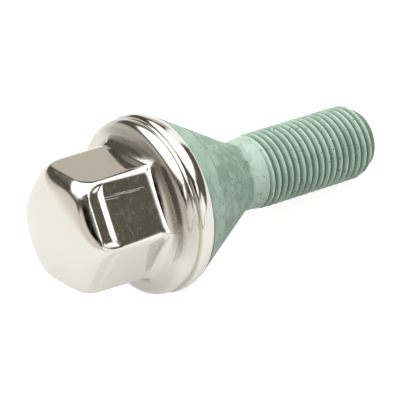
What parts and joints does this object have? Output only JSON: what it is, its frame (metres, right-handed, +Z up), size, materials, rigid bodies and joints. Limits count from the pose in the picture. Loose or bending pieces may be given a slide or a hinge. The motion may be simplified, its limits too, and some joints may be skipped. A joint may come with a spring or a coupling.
{
  "type": "wheel bolt",
  "caption": "Capped wheel bolt: a steel bolt with a 60 degree taper seat and a rolled thread, its hexagon head and flange covered by a polished stainless cap.",
  "frame": {"origin": "on the ground, under the middle of the bolt as it lies", "axes": "+Z up; the bolt's axis lies in the XZ plane with the tip towards +X and 11.7 degrees down"},
  "size_m": [0.0606, 0.028, 0.0276],
  "materials": {
    "coated_steel": "pale sea-green zinc-flake style coating, matt, mottled, with worn crests",
    "polished_stainless": "mirror-polished pressed stainless sheet with fine handling scratches"
  },
  "bodies": {
    "root": {"bolt": "coated_steel", "cap": "polished_stainless"}
  },
  "joints": []
}
